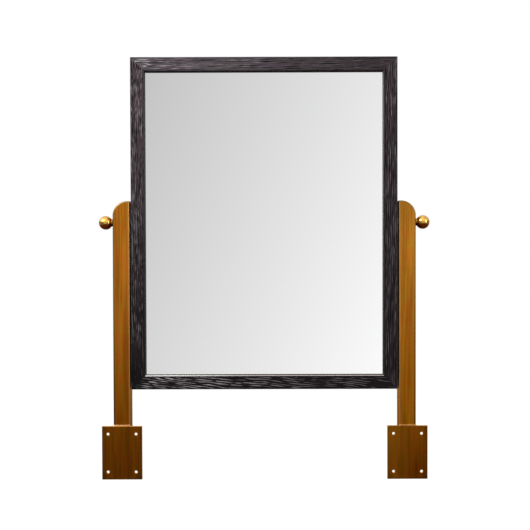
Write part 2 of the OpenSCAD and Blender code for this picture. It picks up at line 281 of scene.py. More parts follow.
def loft(name, rings, closed=False, **values):
    """A mesh over a grid of points (rings, points in a ring, 3), in millimetres. Faces join each ring to the next.

    closed joins the last ring to the first, as in a hoop. Otherwise one flat face closes each end. The other
    arguments are the numbers that the points carry.
    """
    rows, columns = rings.shape[:2]
    ends = [] if closed else [[*range(columns)], [*range((rows - 1) * columns, rows * columns)]]
    mesh = bpy.data.meshes.new(name)
    mesh.from_pydata(rings.reshape(-1, 3) * MM, [], ring_quads(rows, columns, closed).tolist() + ends)
    carry(mesh, values)
    return mesh


def piece(name, mesh, finish, body, node, crease=40):
    """Makes a mesh a piece that rides on a body and stands for a CAD node. Edges past crease degrees are sharp."""
    shell = bmesh.new()
    shell.from_mesh(mesh)
    bmesh.ops.recalc_face_normals(shell, faces=shell.faces)
    shell.to_mesh(mesh)
    shell.free()
    mesh.shade_smooth()
    mesh.set_sharp_from_angle(angle=math.radians(crease))
    mesh.materials.append(finish)
    made = bpy.data.objects.new(name, mesh)
    bpy.context.scene.collection.objects.link(made)
    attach(made, body)
    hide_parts(node)


def eased_noise(seed, *axes, cells=64):
    """Smooth noise from 0 to 1: random numbers at whole-number places, eased between them along each axis."""
    table = np.random.default_rng(seed).random((cells, cells, cells))
    place = np.stack(np.broadcast_arrays(*axes), axis=-1)
    base = np.floor(place).astype(int)
    part = place - base
    part = part * part * (3 - 2 * part)
    total = 0.0
    for corner in np.ndindex(2, 2, 2):
        weight = np.prod(np.where(corner, part, 1 - part), axis=-1)
        i, j, k = np.moveaxis((base + corner) % cells, -1, 0)
        total = total + weight * table[i, j, k]
    return total


def ease(value, low, high):
    """0 below low, 1 above high, and t * t * (3 - 2t) of the share t of the way between."""
    part = np.clip((value - low) / (high - low), 0, 1)
    return part * part * (3 - 2 * part)


def ring_strokes(along, line, ring, offset, cover, shortest, longest, half_width, seed):
    """How deep each point lies in the strokes of the growth rings: 0 outside them, up to 1 on the middle of one.

    The rings are lines a distance of ring apart, moved on by offset. Strokes cover about a share of cover of each,
    and stray from it by up to 0.22 of that distance. With u its share of the half length, a stroke's half width is
    half_width times sqrt(1 - u^2), and it fades as exp(-v^2) at v half widths from its line.
    """
    random = np.random.default_rng(seed)
    first, last = int(line.min() / ring), int(line.max() / ring) + 1
    ends = along.min(), along.max()
    count = int(cover * (last - first) * (ends[1] - ends[0]) * 2 / (shortest + longest))
    places = (random.integers(first, last, count) + offset + random.uniform(-0.22, 0.22, count)) * ring
    middles = random.uniform(*ends, count)
    halves = random.uniform(shortest, longest, count) / 2
    levels = random.uniform(0.5, 1, count)
    deepest = 0 * along
    for middle, place, half, level in zip(middles, places, halves, levels):
        rows = (np.abs(along - middle) < half).any(axis=1)
        taper = np.sqrt(np.clip(1 - ((along[rows] - middle) / half) ** 2, 1e-6, 1))
        off = (line[rows] - place) / (half_width * taper)
        deepest[rows] = np.maximum(deepest[rows], level * taper * np.exp(-off * off))
    return deepest


def brushed_grain(along, around, lean, bend, ring, light, dark, streaks, pores, seed, swirl=(0, 0, 0)):
    """How high the brushed wood stands, from 0 in an open pore to 1 on a rubbed streak.

    Growth lines run along the length, lean across it, are bent by slow and quick noise, and close into rings round a
    swirl (its place along, its place around and its strength). Soft stripes follow them. Light strokes are streaks of
    hard grain, stronger and weaker in slow patches, and dark strokes are pores between them. Places are divided by
    the length and the width of a cloud of each noise, in millimetres.
    """
    slow = (eased_noise(seed, along / 60 + 9, around / 18, 0) - 0.5) * bend
    quick = (eased_noise(seed + 1, along / 16, around / 7 + 5, 0) - 0.5) * bend * 0.15
    beside = (around - swirl[1]) / 3.5
    eye = swirl[2] * beside * np.exp(-((along - swirl[0]) / 8) ** 2 - beside ** 2)
    line = around + lean * along + slow + quick - eye
    stripe = eased_noise(seed + 2, along / 45, line / 1.3, 0)
    patch = eased_noise(seed + 6, along / 28, around / 9, 0)
    raised = ring_strokes(along, line, ring, 0.0, *light, seed + 3) * (0.5 + patch)
    open_pores = ring_strokes(along, line, ring, 0.5, *dark, seed + 4)
    return np.clip(0.32 + 0.3 * (stripe - 0.5) + streaks * raised - pores * open_pores, 0, 1)


def mitred_bar(name, where, half_w, half_h, section, spacing, step, relief, grain, rim=0.0):
    """A bar along one side of the frame, with mitred ends and brushed grain.

    Its rings are the section, set at even shares of the length, which shortens with the distance in from the outer
    face. Each point is sunk along its normal by the relief times what the grain lacks of a full ridge. The front is
    brushed deepest, less so toward the lip, whose inner face is left plain, and the fewer rubbed streaks beside the
    lip are partly painted shade. The numbers carried along are the ridge, the outer edges with rim more of the face,
    the lip's inner face, its front arris for a painted highlight, how much darker it is near the frame's lower left
    corner, and the share of the way to the right or to the foot.
    """
    angle = {"top": 0, "right": math.pi / 2, "bottom": math.pi, "left": -math.pi / 2}[where]
    level = where in ("top", "bottom")
    half_length, reach = (half_w, half_h) if level else (half_h, half_w)
    points, normals = outline(section, spacing)
    share = np.linspace(-1, 1, int(2 * half_length / step) + 1)[:, None]
    across, depth, width = points[:, 0][None], points[:, 1][None], section[1][0]
    along = share * (half_length - across)
    lip = ease(normals[:, 0], 0.5, 0.9)[None] * (depth < section[2][1] + 0.4) + 0 * share
    # Marks the lip's front arris, where the bottom rail gets a painted highlight of light from above.
    bare = ease(normals[:, 0], 0.1, 0.4)[None] * ease(-depth, -BARE_LIP - 0.5, -BARE_LIP)
    around = np.arange(len(points))[None] * spacing + 0 * share
    # Holding the ridges low beside the lip keeps the rubbed streaks off that band, partly as painted shade.
    highest = 1 - 0.7 * ease(across, width - 4.5, width - 2)
    ridge = np.minimum(brushed_grain(along, around, **grain), highest) * (1 - lip)
    near_mitre = np.exp(-(half_length - across - np.abs(along)) / 0.4)
    edge = np.abs(normals).min(axis=1)[None] * 1.4 * (across < section[2][0] / 2)
    if rim:
        edge = np.maximum(edge, ease(-across, -rim - 1, -rim) * ease(np.abs(normals[:, 1]), 0.3, 0.9)[None])
    facing = ease(-normals[:, 1], 0.3, 0.9)[None]
    sunk = relief * (0.3 + 0.7 * facing) * (1 - ridge) * (1 - lip) + MITRE_SINK * near_mitre
    across = across - normals[:, 0] * sunk
    depth = depth - normals[:, 1] * sunk
    up = reach - across
    x = along * math.cos(angle) + up * math.sin(angle)
    z = up * math.cos(angle) - along * math.sin(angle)
    far = 0.5 + (x / half_w if level else -z / half_h) / 2
    # Darker toward the frame's lower left corner.
    thick = ease(-np.hypot((x + half_w) / STAIN_REACH_X, (z + half_h) / STAIN_REACH_Z), -1.0, -0.55)
    rings = np.stack([x, depth + frame_front, z + frame_mid], axis=-1)
    return loft(name, rings, ridge=ridge, edge=edge + 0 * share, lip=lip, bare=bare + 0 * share, thick=thick, far=far)


class Finish(Recipe):
    """The recipe of a material. Its patterns follow the place on the piece and the numbers that its points carry."""

    def __init__(self, name):
        super().__init__(bpy.data.materials.new(name))
        self.place = self.add("ShaderNodeTexCoord", {}, {}, output="Object")

    def point_values(self, *labels):
        """The numbers that the mesh carries under these labels."""
        return [self.add("ShaderNodeAttribute", {"attribute_name": label}, {}, output="Fac") for label in labels]

    def noise(self, scale, detail, drawn=None):
        """Clouds over the piece, drawn out into streaks where a scale for each axis is given."""
        place = self.add("ShaderNodeMapping", {}, {"Vector": self.place, "Scale": drawn}) if drawn else self.place
        return self.add("ShaderNodeTexNoise", {}, {"Vector": place, "Scale": scale, "Detail": detail})

    def mix(self, low, high, mask):
        """The colour low where mask is 0, high where it is 1. A colour is a wire or the three numbers of a shade."""
        low, high = (colour if isinstance(colour, Wire) else shade(*colour) for colour in (low, high))
        return self.add("ShaderNodeMix", {"data_type": "RGBA"}, {0: mask, 6: low, 7: high}, output=2)

    def through(self, veil, colour):
        """The colour seen through a clear veil: their product."""
        return self.add("ShaderNodeMix", {"data_type": "RGBA", "blend_type": "MULTIPLY"},
                        {0: 1.0, 6: colour, 7: veil}, output=2)

    def bump(self, height, strength, distance):
        """The normal of a surface that rises with height, by up to distance in millimetres."""
        return self.add("ShaderNodeBump", {}, {"Height": height, "Strength": strength, "Distance": distance * MM})

    def surface(self, sockets):
        """Ends the recipe in a surface with these values and wires, and returns the material."""
        shader = self.add("ShaderNodeBsdfPrincipled", {}, sockets)
        self.add("ShaderNodeOutputMaterial", {}, {"Surface": shader})
        return self.holder


PORE_COLOUR, THICK_STAIN_COLOUR = (10, 7, 8), (5, 3, 5)


def black_oak(name, body, rubbed, rub=(0.6, 1.0, 1.0), lip=((12, 10, 10), (12, 10, 10)), bare=None,
              edge=(100, 96, 92), edged=(0.2, 0.2)):
    """Brushed oak under black stain: deep in the pores, thinner on the body, and rubbed grey on the streaks.

    A pair of values is what holds at the left or upper end and at the right or lower end, and eases between them. rub
    is the share of the way over which the rubbing changes, and its strength before and after. Its fade toward the
    right or the foot is a painted highlight of the raking light from the upper left.
    """
    oak = Finish(name)
    ridge, arris, lip_face, lip_front, thick, far = oak.point_values("ridge", "edge", "lip", "bare", "thick", "far")
    patch, tint, fibre = oak.noise(24.0, 2.0), oak.noise(55.0, 1.0), oak.noise(900.0, 3.0)
    # Partly painted shade: the body tone darkens toward the right or the foot, besides the stain's own change.
    onward = oak.band(far, 0.0, 1.0)
    veil = oak.mix((255, 248, 254), (251, 255, 252), oak.band(tint, 0.4, 0.65))
    colour = oak.mix(PORE_COLOUR, oak.through(veil, oak.mix(*body, onward)), oak.band(ridge, 0.0, 0.32))
    # Partly painted highlight: the rubbed streaks fade toward the right or the foot, away from the light at the upper
    # left.
    rubbing = oak.band(ridge, 0.38, 0.95) * oak.band(far, 0.0, *rub) * oak.band(patch, 0.3, 0.65, 0.6, 1.0)
    colour = oak.mix(colour, rubbed, rubbing)
    # Worn on the beads, and painted light and shade on the frame: paler on the stiles' upper parts, where the lamps
    # catch them, darker along the top rail's right part and round the bottom rail.
    colour = oak.mix(colour, edge, arris * oak.band(far, 0.0, 1.0, *edged))
    # Darker near the frame's lower left corner.
    colour = oak.mix(colour, THICK_STAIN_COLOUR, thick * 0.85)
    # Painted light and shade on the lip's inner faces: near black on the top and bottom rails' lips, paler on the
    # stiles' lips toward the top.
    colour = oak.mix(colour, oak.mix(*lip, onward), lip_face)
    # Painted highlight on the lip's front arris: near white at the left, greyer toward the right.
    if bare:
        colour = oak.mix(colour, oak.mix(*bare, oak.band(far, 0.1, 0.5)), lip_front)
    return oak.surface({"Base Color": colour, "Roughness": oak.band(ridge, 0.1, 0.9, 0.7, 0.5),
                        "Normal": oak.bump(fibre, 0.25, 0.1), "Specular IOR Level": 0.1})


top_low, top_high = node_box("frame_top_rail")
left_low, left_high = node_box("frame_left_stile")
glass_low, glass_high = node_box("mirror_glass")
bead_low, bead_high = node_box("bead_top")
frame_half_w, frame_half_h = top_high[0], (left_high[2] - left_low[2]) / 2
frame_foot, frame_mid = left_low[2], (left_high[2] + left_low[2]) / 2
frame_front, frame_depth = top_low[1], top_high[1] - top_low[1]
member_width, back_width = top_high[2] - top_low[2], top_high[2] - bead_high[2]
lip_depth = glass_low[1] - top_low[1]
MEMBER_SECTION = [
    (0, 0, 1.0), (member_width, 0, 1.0), (member_width, lip_depth, 0.3),
    (back_width, lip_depth, 0), (back_width, frame_depth, 0.5), (0, frame_depth, 1.0),
]
MEMBERS = {
    "frame_top_rail": (
        "top", 0.6,
        dict(lean=0.01, bend=4, ring=3.0, light=(1.6, 7, 24, 0.42), dark=(1.7, 8, 28, 0.6), streaks=0.55, pores=0.32,
             seed=11, swirl=(-181, 13, 6)),
        dict(body=((84, 77, 81), (52, 45, 48)), rubbed=(190, 182, 186), rub=(0.6, 1.0, 0.2),
             lip=((8, 7, 7), (36, 20, 14)), edge=(34, 31, 32), edged=(0.0, 0.8))),
    "frame_bottom_rail": (
        "bottom", 1.2,
        dict(lean=-0.1, bend=6, ring=3.3, light=(2.0, 8, 26, 0.42), dark=(1.8, 10, 30, 0.7), streaks=0.8, pores=0.45,
             seed=23),
        dict(body=((28, 21, 23), (20, 14, 16)), rubbed=(176, 168, 171), rub=(1.0, 0.9, 0.18),
             lip=((14, 10, 8), (14, 10, 8)), bare=((255, 252, 248), (178, 170, 166)), edge=(8, 6, 7),
             edged=(0.95, 0.95))),
    "frame_left_stile": (
        "left", 0.0,
        dict(lean=0.02, bend=4, ring=3.0, light=(1.2, 7, 20, 0.44), dark=(1.4, 5, 15, 0.65), streaks=0.7, pores=0.5,
             seed=37),
        dict(body=((68, 59, 62), (26, 20, 20)), rubbed=(150, 140, 144), rub=(0.6, 0.8, 0.45),
             lip=((66, 60, 58), (48, 44, 42)), edge=(112, 106, 100), edged=(0.5, 0.1))),
    "frame_right_stile": (
        "right", 0.0,
        dict(lean=-0.01, bend=3, ring=3.0, light=(1.3, 10, 30, 0.42), dark=(1.5, 8, 26, 0.6), streaks=0.7, pores=0.5,
             seed=41),
        dict(body=((52, 44, 47), (32, 25, 27)), rubbed=(140, 132, 135), rub=(0.6, 0.8, 0.4),
             lip=((98, 95, 90), (28, 25, 23)), edge=(100, 96, 92), edged=(0.2, 0.1))),
}
for name, (where, rim, grain, colours) in MEMBERS.items():
    mesh = mitred_bar(name, where, frame_half_w, frame_half_h, MEMBER_SECTION, FRAME_SPACING, FRAME_STEP,
                      FRAME_RELIEF, grain, rim)
    piece(name.replace("frame_", "oak_"), mesh, black_oak("black_" + name, **colours), "mirror", name,
          FRAME_CREASE)


# The mitre keys: thin slips of oak glued into saw cuts across the corners and cleaned up flush, so that only their
# edges show. They are stained with the frame.
KEY_SETBACK, KEY_SPACING = 0.15, 0.6
KEY_GRAIN = dict(lean=0.0, bend=2, ring=3.0, light=(0.5, 6, 15, 0.7), dark=(0.8, 4, 9, 0.8), streaks=0.7, pores=0.4,
                 seed=5)
key_finish = black_oak("black_keys", ((48, 42, 44), (48, 42, 44)), (96, 90, 90))
for name in ("key_top_left", "key_top_right", "key_bottom_left", "key_bottom_right"):
    low, high = node_box(name)
    inward_x, inward_z = (-1 if "right" in name else 1), (-1 if "top" in name else 1)
    corner_x = (low if inward_x > 0 else high)[0] + KEY_SETBACK * inward_x
    corner_z = (low if inward_z > 0 else high)[2] + KEY_SETBACK * inward_z
    leg = high[0] - low[0] - 2 * KEY_SETBACK
    triangle = [(corner_x, corner_z, 0.6), (corner_x + leg * inward_x, corner_z, 0.2),
                (corner_x, corner_z + leg * inward_z, 0.2)]
    points, _ = outline(triangle, KEY_SPACING)
    levels = np.array([low[1], high[1]])[:, None]
    rings = np.stack([points[:, 0] + 0 * levels, 0 * points[:, 0] + levels, points[:, 1] + 0 * levels], axis=-1)
    along = np.arange(len(points)) * KEY_SPACING + 0 * levels
    grain = brushed_grain(along, levels + 0 * along, **KEY_GRAIN)
    none = 0 * grain
    mesh = loft(name, rings, ridge=grain, edge=none, lip=none, bare=none, thick=none, far=none)
    piece("oak_" + name, mesh, key_finish, "mirror", name)


# The mirror: a sheet of flat glass, silvered on the back and ground smooth along its edges, which the lip covers.
# It stands on the setting blocks, and the board and the beads hold it against the lip.
GLASS_ARRIS, GLASS_CREASE = 0.3, 0.5
glass_middle, glass_half = (glass_low + glass_high) / 2, (glass_high - glass_low) / 2


def sheet_rings(front, back, arris):
    """Rectangular rings around a sheet as large as the glass, whose edges are bevelled by arris."""
    corners = np.array([(-1, -1), (1, -1), (1, 1), (-1, 1)])
    inset, depth = np.array([(arris, back), (0.0, back - arris), (0.0, front + arris), (arris, front)]).T[:, :, None]
    x = corners[:, 0] * (glass_half[0] - inset)
    z = glass_middle[2] + corners[:, 1] * (glass_half[2] - inset)
    return np.stack([x, depth + 0 * x, z], axis=-1)


silver = Finish("silvered_glass")
smear = silver.noise(9.0, 3.0)
silvered = silver.surface({
    "Base Color": silver.mix((252, 253, 253), (254, 254, 253), smear), "Metallic": 1.0,
    "Roughness": silver.band(smear, 0.35, 0.75, 0.012, 0.03)})
mesh = loft("mirror_sheet", sheet_rings(glass_low[1], glass_high[1], GLASS_ARRIS))
piece("mirror_sheet", mesh, silvered, "mirror", "mirror_glass", GLASS_CREASE)


# The backing board: a sheet of hardboard with eased edges, painted black and rubbed paler in soft clouds. It lies
# against the back of the glass.
BOARD_EASE = 0.5
paint = Finish("black_board")
cloud, tooth = paint.noise(11.0, 5.0), paint.noise(700.0, 2.0)
painted = paint.surface({
    "Base Color": paint.mix((25, 24, 24), (38, 36, 35), paint.band(cloud * 0.4 + tooth * 0.6, 0.35, 0.75)),
    "Roughness": paint.band(cloud, 0.3, 0.7, 0.7, 0.5), "Normal": paint.bump(tooth, 0.3, 0.1)})
board_low, board_high = node_box("backing_board")
mesh = loft("backing_sheet", sheet_rings(board_low[1], board_high[1], BOARD_EASE))
piece("backing_sheet", mesh, painted, "mirror", "backing_board")


# The glazing beads: narrow strips of the same oak, mitred and rounded on the free edge, that hold the board and the
# glass in the rebate. Steel pins go through them into the frame.
BEAD_SPACING, BEAD_STEP, BEAD_RELIEF = 0.6, 1.8, 0.2
bead_width, bead_front, bead_back = bead_high[2] - bead_low[2], bead_low[1] - frame_front, bead_high[1] - frame_front
BEAD_SECTION = [(0, bead_front, 0), (bead_width, bead_front, 0.3), (bead_width, bead_back, 2.0), (0, bead_back, 0.3)]
bead_finish = black_oak("black_beads", ((46, 40, 42), (46, 40, 42)), (92, 86, 86))
for number, where in enumerate(("top", "bottom", "left", "right")):
    grain = dict(lean=0.01 * number, bend=4, ring=3.0, light=(0.5, 8, 26, 0.7), dark=(0.6, 6, 20, 0.8), streaks=0.8,
                 pores=0.4, seed=60 + 7 * number)
    mesh = mitred_bar("bead_" + where, where, frame_half_w - back_width, frame_half_h - back_width, BEAD_SECTION,
                      BEAD_SPACING, BEAD_STEP, BEAD_RELIEF, grain)
    piece("oak_bead_" + where, mesh, bead_finish, "mirror", "bead_" + where, FRAME_CREASE)


# The panel pins: thin steel pins with small flat heads, darkened by the stain. They are driven through the beads into
# the frame and set flush.
def refinish(kind, finish):
    """Gives the CAD nodes whose names end in kind, and whose shape is right, their finish."""
    for name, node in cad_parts.items():
        if name.endswith(kind):
            node.data.materials.clear()
            node.data.materials.append(finish)


def plain_finish(name, low, high, roughness, grit, metallic=1.0):
    """A small part's finish: two close shades in clouds as fine as grit, with a roughness that follows them."""
    made = Finish(name)
    cloud = made.noise(grit, 4.0)
    return made.surface({
        "Base Color": made.mix(low, high, made.band(cloud, 0.35, 0.65)), "Metallic": metallic,
        "Roughness": made.band(cloud, 0.3, 0.7, roughness - 0.06, roughness + 0.06),
        "Normal": made.bump(cloud, 0.2, 0.05)})


refinish("bead_pins", plain_finish("pin_steel", (70, 66, 62), (118, 112, 106), roughness=0.42, grit=900.0))

# The setting blocks: two strips of black rubber. They lie in the rebate under the glass, to keep its edge off
# the wood.
rubber = plain_finish("block_rubber", (24, 24, 24), (40, 39, 38), roughness=0.7, grit=500.0, metallic=0.0)
refinish("_setting_block", rubber)

# The threaded inserts: turned brass sleeves, slotted for a screwdriver. They are screwed into the stiles and take the
# studs of the knobs.
turned_brass = plain_finish("turned_brass", (176, 138, 72), (214, 178, 104), roughness=0.3, grit=420.0)
refinish("_insert", turned_brass)

# The friction washers: discs of black nylon on the studs, between the stiles and the posts. They hold the mirror at
# its tilt.
nylon = plain_finish("black_nylon", (18, 17, 17), (34, 32, 31), roughness=0.5, grit=650.0, metallic=0.0)
refinish("_friction_washer", nylon)


# The posts: square brass tube, straightened and brushed along its length, then patinated brown, and darker toward
# the foot, partly as painted shade of the light from above. A curved strip brazed over the shoulder closes the top.
# The crisp inner edge is paler, partly rubbed bright and partly a painted highlight; the rounded outer edges and the
# inner side beside the frame carry painted shade.
SIDES = (("left", -1), ("right", 1))
POST_EDGE, POST_INNER_EDGE, POST_STEP = 2.0, 0.8, 2.0
# Each post's colour at the top and at the foot: the darkening toward the foot is partly painted shade.
POST_COLOURS = {"left": ((188, 118, 37), (142, 79, 4), -0.01, 0.27),
                "right": ((196, 130, 45), (174, 108, 19), 0.02, 0.34)}
POST_EDGE_COLOUR, GRIME_COLOUR = (226, 180, 112), (22, 11, 3)
ROUNDED_FROM, ROUNDED_TO = -2.6, -1.2
SHOULDER_POINTS, TOP_POINTS, FACE_POINTS, EDGE_POINTS, WALL_POINTS, UNDER_POINTS = 40, 8, 14, 8, 8, 10
post_low, post_high = node_box("right_post")
cap_low, cap_high = node_box("right_post_cap")
post_width, post_depth = post_high[0] - post_low[0], post_high[1] - post_low[1]
shoulder_foot, post_top, post_foot = cap_low[2], cap_high[2], post_low[2]
shoulder_radius = post_top - shoulder_foot
shoulder_flat = post_width - shoulder_radius
straight_count = int((shoulder_foot - post_foot) / POST_STEP)


def post_path():
    """The line, seen from the front, that the flat of a post's face ends on: its points and outward normals.

    It runs up the outer side, round the shoulder and in along the top to the inner side, an edge's radius inside the
    silhouette.
    """
    straight = np.linspace(post_foot, shoulder_foot, straight_count)
    turn = np.linspace(0, math.pi / 2, SHOULDER_POINTS)[1:]
    flat = np.linspace(shoulder_flat, 0, TOP_POINTS)[1:]
    radius = shoulder_radius - POST_EDGE
    x = np.concatenate([0 * straight + post_width - POST_EDGE, shoulder_flat + radius * np.cos(turn), flat])
    z = np.concatenate([straight, shoulder_foot + radius * np.sin(turn), 0 * flat + shoulder_foot + radius])
    normal_x = np.concatenate([0 * straight + 1, np.cos(turn), 0 * flat])
    normal_z = np.concatenate([0 * straight, np.sin(turn), 0 * flat + 1])
    return [part[:, None] for part in (x, z, normal_x, normal_z)]


def post_rings(side, round_shoulder):
    """Rings around a post: across its front, round the outer edge, across its back and round the inner edge.

    Without round_shoulder the outer wall ends at the shoulder's foot. Above it the outer part of a ring lies on the
    line where the face ends, and the cap covers it.
    """
    x, z, normal_x, normal_z = post_path()
    outer_edge = POST_EDGE * (round_shoulder | (np.arange(len(x))[:, None] < straight_count))
    quarter = np.linspace(0, math.pi / 2, EDGE_POINTS)[None]
    face = np.linspace(0, 1, FACE_POINTS)[None]
    wall = np.linspace(POST_EDGE, post_depth - POST_EDGE, WALL_POINTS)[None]
    inner = np.minimum(POST_INNER_EDGE, x)
    front = inner + (x - inner) * face
    out, back = outer_edge * np.sin(quarter), POST_EDGE * (1 - np.cos(quarter))
    edge_x, edge_z = x + normal_x * out, normal_z * out
    inner_x, inner_y = inner * (1 - np.sin(quarter)), inner * (1 - np.cos(quarter))
    parts = [
        (front, 0 * face, 0 * face),
        (edge_x, back, edge_z),
        (x + normal_x * outer_edge + 0 * wall, wall, normal_z * outer_edge + 0 * wall),
        (edge_x[:, ::-1], post_depth - back[:, ::-1], edge_z[:, ::-1]),
        (front[:, ::-1], post_depth + 0 * face, 0 * face),
        (inner_x, post_depth - inner_y, 0 * quarter),
        (inner_x[:, ::-1], inner_y[:, ::-1], 0 * quarter),
    ]
    columns = [np.concatenate([np.broadcast_to(part[axis], (len(x), part[axis].shape[1])) for part in parts], 1)
               for axis in range(3)]
    return np.stack([side * (post_low[0] + columns[0]), post_low[1] + columns[1], z + columns[2]], axis=-1)


def to_face(points):
    """How far points lie from the front or the back of a post, whichever is nearer."""
    return np.minimum(points[..., 1] - post_low[1], post_high[1] - points[..., 1])


def post_wear(points):
    """The wear of a post at its points: the inner arrises, rubbed pale as wear and a painted highlight, the rounded
    outer edges, painted dark as painted shade, and the inner side, painted dark as painted shade.

    An arris is rubbed as exp(-(distance / 0.5)^2). The inner side carries painted shade where the mirror frame stands
    close to it, above the frame's foot, and there the arris is rubbed less.
    """
    from_inner = np.abs(points[..., 0]) - post_low[0]
    arris = np.exp(-(np.hypot(from_inner - 0.3, to_face(points) - 0.3) / 0.5) ** 2)
    outward = np.maximum(ease(from_inner, post_width - 3.0, post_width - 1.4),
                         ease(points[..., 2], post_top - 2.2, post_top - 0.8))
    # Painted shade on the inner side, beside the frame and above its foot.
    in_gap = ease(-from_inner, -0.25, -0.02) * ease(points[..., 2], frame_foot - 3, frame_foot + 22)
    return dict(worn=arris * (1 - 0.6 * in_gap), eased=outward * ease(-to_face(points), ROUNDED_FROM, ROUNDED_TO),
                grime=in_gap * 0.85)


def aged_brass(name, high_colour, low_colour, foot, top, edge_colour, rounded=((52, 38, 12), (126, 98, 46)),
               flecks=0.0):
    """Brown patina over brass, in soft long brushed streaks and clouds, darker toward the foot, which is partly
    painted shade.

    The point values say where it differs: worn is rubbed to edge_colour, partly wear and partly a painted highlight;
    eased is a rounded edge, whose two colours hold at the foot and at the top, dark on the posts as painted shade and
    bright on the plates where they were filed; and grime is where no metal shows, partly dirt and patina left thick
    and partly painted shade. flecks is how much of the patina is broken by small bright specks.
    """
    brass = Finish(name)
    worn, eased, dirty = brass.point_values("worn", "eased", "grime")
    streak = brass.noise(1.0, 3.0, drawn=(520.0, 520.0, 11.0))
    broad = brass.noise(1.0, 2.0, drawn=(110.0, 110.0, 7.0))
    mottle = brass.noise(70.0, 4.0)
    # Darker toward the foot: partly patina, partly painted shade of the light from above.
    rise = brass.band(brass.split(brass.place)[2], foot, top)
    uneven = brass.mix((255, 255, 255), (214, 205, 194), brass.band(streak * 0.45 + broad * 0.55, 0.4, 0.62))
    tone = brass.mix((255, 240, 228), (247, 255, 226), brass.band(mottle, 0.35, 0.65))
    colour = brass.through(tone, brass.through(uneven, brass.mix(low_colour, high_colour, rise)))
    if flecks:
        broken = brass.band(brass.noise(620.0, 2.0), 0.58, 0.72) * brass.band(mottle, 0.45, 0.65) * flecks
        colour = brass.mix(colour, edge_colour, broken)
    # On the posts the rounded edges are painted dark as painted shade; on the plates they are filed bright.
    colour = brass.mix(colour, brass.mix(*rounded, rise), eased * 0.9)
    # Rubbed edges, partly wear and partly painted highlight; then grime, partly dirt and patina, partly painted shade.
    colour = brass.mix(brass.mix(colour, edge_colour, worn), GRIME_COLOUR, dirty)
    rough = brass.band(streak * 0.6 + mottle * 0.4, 0.35, 0.65, 0.42, 0.32)
    return brass.surface({
        "Base Color": colour, "Metallic": 1 - dirty, "Roughness": rough - worn * 0.08 + dirty * 0.35,
        "Normal": brass.bump(streak, 0.3, 0.05), "Specular Tint": shade(210, 168, 110), "Specular IOR Level": 0.05})


for side, sign in SIDES:
    finish = aged_brass(side + "_post_brass", *POST_COLOURS[side], POST_EDGE_COLOUR)
    rings = post_rings(sign, False)
    mesh = loft(side + "_post", rings, **post_wear(rings))
    piece(side + "_post_tube", mesh, finish, "stand", side + "_post")

    around_shoulder = post_rings(sign, True)[straight_count - 1:]
    rim = around_shoulder[:, FACE_POINTS:FACE_POINTS + 2 * EDGE_POINTS + WALL_POINTS]
    under = np.linspace(rim[:, -1], rim[:, 0], UNDER_POINTS, axis=1)[:, 1:-1]
    strip = np.concatenate([rim, under], axis=1)
    edge = ease(-to_face(strip), ROUNDED_FROM, ROUNDED_TO)
    mesh = loft(side + "_cap", strip, worn=0 * edge, eased=edge, grime=0 * edge)
    piece(side + "_shoulder_strip", mesh, finish, "stand", side + "_post_cap")


# The screw plates: pieces of brass flat, drilled with four holes and countersunk from the rear. Brazing and patina
# left their faces darker and more mottled than the posts. Their edges and hole rims were filed bright again. Their
# darker borders and corners are partly painted shade, and the right plate is painted lighter toward its left.
PLATE_EDGE, PLATE_EDGE_POINTS = 0.6, 6
HOLE_RADIUS, SINK_RADIUS, HOLE_EASE = 2.0, 4.5, 0.25
HOLE_INSET_X, HOLE_INSET_Z = 9.0, 11.5
STEPS_X, STEPS_Z, STEPS_OUT = 16, 20, 8
RIM_LANDS = (0.0, 0.15, 0.35, 0.7)
PLATE_COLOURS = {"left": ((136, 79, 11), (128, 70, 8)), "right": ((144, 83, 11), (132, 68, 8))}
# Painted light: how far each plate is lighter toward its left.
PLATE_GLOW = {"left": 0.0, "right": 0.35}
PLATE_FADE, FLECK_COLOUR, FILED_COLOUR = (-0.04, 0.04), (172, 112, 24), (255, 198, 118)


def plate_wear(place, half, hole, glow):
    """The wear of a plate at places from its centre, from the distances to its edges and its holes.

    It is darker near the edges, where it fades as exp(-(distance / 1.5)^2), round the holes, as exp(-distance^2),
    and toward the corners, most of all the lower ones: partly patina and partly painted shade. Toward the left it is
    lighter, as painted light, as far as glow says. None of the darkening is left on the filed edges and hole rims.
    """
    out_x, _, out_z = np.abs(place).T
    from_edge = np.minimum(half[0] - out_x, half[2] - out_z)
    from_hole = np.hypot(out_x - hole[0], out_z - hole[1]) - HOLE_RADIUS
    filed = np.maximum(ease(-from_hole, -0.62, -0.42), 0.8 * ease(-from_edge, -0.45, -0.2))
    lower = ease(-place[:, 2], -0.2 * half[2], 0.9 * half[2])
    corner = np.hypot(out_x / half[0], out_z / half[2])
    # Darker at the edges, round the holes and in the corners: partly patina, partly painted shade.
    grime = np.max([
        0.85 * np.exp(-(from_edge / 1.5) ** 2), 0.9 * np.exp(-np.maximum(from_hole, 0) ** 2),
        0.3 * ease(place[:, 0], 0.7 * half[0], half[0]), (0.35 + 0.35 * lower) * ease(corner, 0.85, 1.4)], axis=0)
    return dict(worn=glow * ease(-place[:, 0], -0.6 * half[0], 0.8 * half[0]), eased=filed, grime=grime * (1 - filed))


